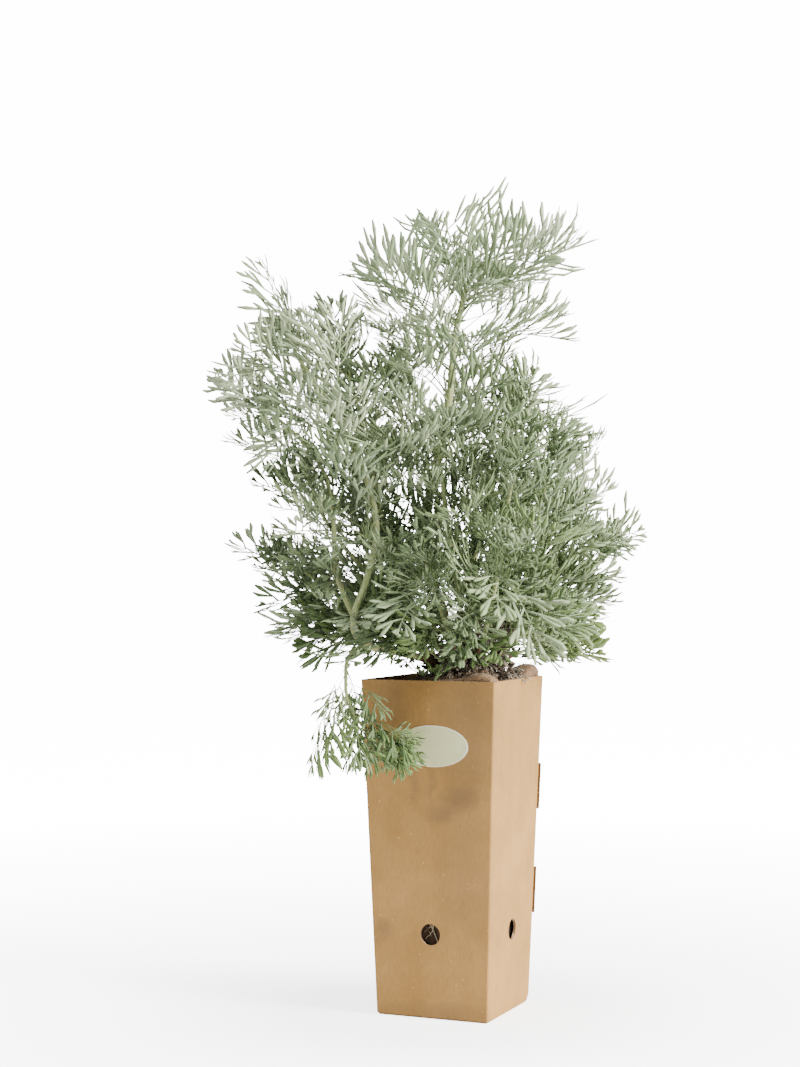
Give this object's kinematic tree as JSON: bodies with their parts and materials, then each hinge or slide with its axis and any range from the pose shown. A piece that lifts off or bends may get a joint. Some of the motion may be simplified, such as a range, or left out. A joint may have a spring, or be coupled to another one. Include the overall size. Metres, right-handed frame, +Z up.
{
  "type": "potted tree wormwood",
  "caption": "Bushy silvery plant with finely cut leaves on a short woody trunk, standing in soil in a tall tapered square pot of folded kraft board.",
  "frame": {"origin": "middle of the flat underside of the pot", "axes": "+Z up along the pot and the plant, -Y out of the wall with the oval label, +X out of the wall with the tabs"},
  "size_m": [0.2721, 0.2489, 0.5419],
  "materials": {
    "kraft_board": "uncoated kraft micro-flute board, matt, with fine darker fibres and faint water stains",
    "label_paper": "smooth pale cream paper, slightly satin, bare",
    "potting_soil": "dark moist crumbly potting soil with pale roots",
    "coir_felt": "matted brown coconut fibre felt",
    "bark": "thin grey-brown to red-brown bark with fine cracks and leaf scars",
    "foliage": "silvery sage green leaves and pale green stems with short silky hairs, matt"
  },
  "bodies": {
    "root": {"pot_sleeve": "kraft_board", "label_oval": "label_paper", "root_ball": "potting_soil", "coir_mat": "coir_felt", "woody_crown": "bark", "shoot_leader": "foliage", "shoot_left_arch": "foliage", "shoot_rear_left_crest": "foliage", "shoot_left_crest": "foliage", "shoot_right_crest": "foliage", "shoot_right_high": "foliage", "shoot_right_mid": "foliage", "shoot_far_right": "foliage", "shoot_right_low": "foliage", "shoot_rim_right": "foliage", "shoot_far_left": "foliage", "shoot_left_low": "foliage", "shoot_front_left": "foliage", "shoot_front_right": "foliage", "shoot_rear_high": "foliage", "shoot_rear_left": "foliage", "shoot_rear_right": "foliage", "shoot_left_front": "foliage", "shoot_front_top": "foliage", "shoot_front_right_top": "foliage", "shoot_rim_front": "foliage", "shoot_rear_far_left": "foliage", "shoot_rear_far_right": "foliage"}
  },
  "joints": []
}
